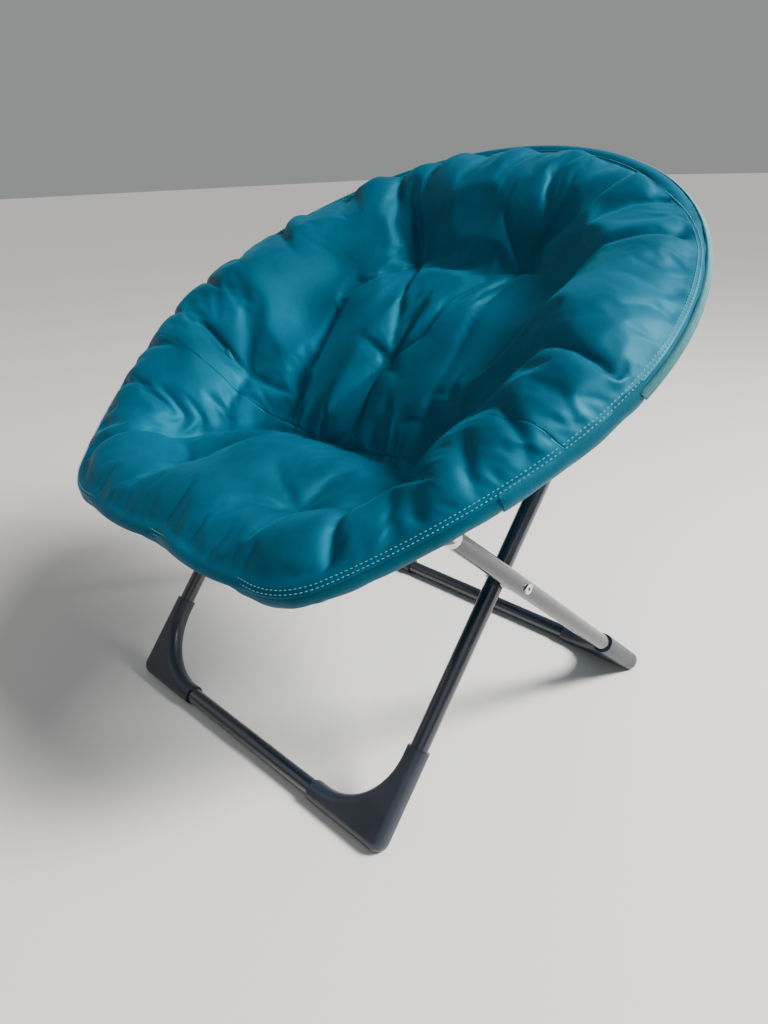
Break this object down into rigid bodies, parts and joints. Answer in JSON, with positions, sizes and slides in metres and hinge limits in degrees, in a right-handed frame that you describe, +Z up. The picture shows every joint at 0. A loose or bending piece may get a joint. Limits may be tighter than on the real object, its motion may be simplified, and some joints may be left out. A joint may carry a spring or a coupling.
{
  "type": "folding saucer chair",
  "caption": "Folding saucer chair: padded round bucket seat on two hinged tubular hoops, carried by two crossed leg frames with moulded corners.",
  "frame": {"origin": "on the floor, under the middle of the chair's bounding box", "axes": "+Z up, +Y towards the chair's back, +X to the right seen from the front"},
  "size_m": [0.7978, 0.695, 0.7307],
  "materials": {
    "frame_paint": "glossy dark blue-black powder coat on steel tube",
    "corner_plastic": "satin moulded plastic, dark blue-grey",
    "cap_plastic": "black moulded plastic",
    "white_nylon": "white moulded nylon",
    "rivet_steel": "bright zinc-plated rivets and bolts",
    "cover_cloth": "peacock-blue woven polyester over loose polyester fill",
    "hem_cloth": "the same cloth, doubled and twice stitched round the tube"
  },
  "bodies": {
    "front_legs": {"front_floor_bar": "frame_paint", "front_leg_left": "frame_paint", "front_leg_right": "frame_paint", "front_corner_left": "corner_plastic", "front_corner_right": "corner_plastic", "front_leg_caps": "cap_plastic", "pivot_rivets": "rivet_steel", "back_strap_bolts": "rivet_steel", "back_strap_washers": "cap_plastic"},
    "rear_legs": {"rear_floor_bar": "frame_paint", "rear_leg_left": "frame_paint", "rear_leg_right": "frame_paint", "rear_corner_left": "corner_plastic", "rear_corner_right": "corner_plastic", "rear_leg_saddles": "white_nylon", "pivot_spacers": "white_nylon", "saddle_rivets": "rivet_steel"},
    "back_hoop": {"back_hoop": "frame_paint", "back_hoop_straps": "frame_paint", "back_sleeve": "hem_cloth", "back_pad": "cover_cloth", "hinge_rivets": "rivet_steel", "hinge_flaps": "hem_cloth"},
    "front_hoop": {"front_hoop": "frame_paint", "front_hoop_straps": "frame_paint", "front_strap_studs": "rivet_steel", "front_sleeve": "hem_cloth", "seat_pad": "cover_cloth"}
  },
  "joints": [
    {"name": "leg_scissor", "type": "hinge", "parent": "front_legs", "child": "rear_legs", "pos_m": [0, -0.05511, 0.268], "axis": [-1, 0, 0], "range_deg": [0, 58]},
    {"name": "back_hoop_pivot", "type": "hinge", "parent": "front_legs", "child": "back_hoop", "pos_m": [0, 0.24987, 0.63797], "axis": [1, 0, 0], "range_deg": [0, 22.06], "deforming": ["back_pad"]},
    {"name": "hoop_hinge", "type": "hinge", "parent": "back_hoop", "child": "front_hoop", "pos_m": [0, -0.11743, 0.46396], "axis": [-1, 0, 0], "range_deg": [0, 158.02], "deforming": ["seat_pad", "hinge_flaps"]}
  ],
  "couplings": [
    {"joint": "back_hoop_pivot", "follows": "leg_scissor", "ratio": 0.38023},
    {"joint": "hoop_hinge", "follows": "leg_scissor", "ratio": 2.7244}
  ]
}
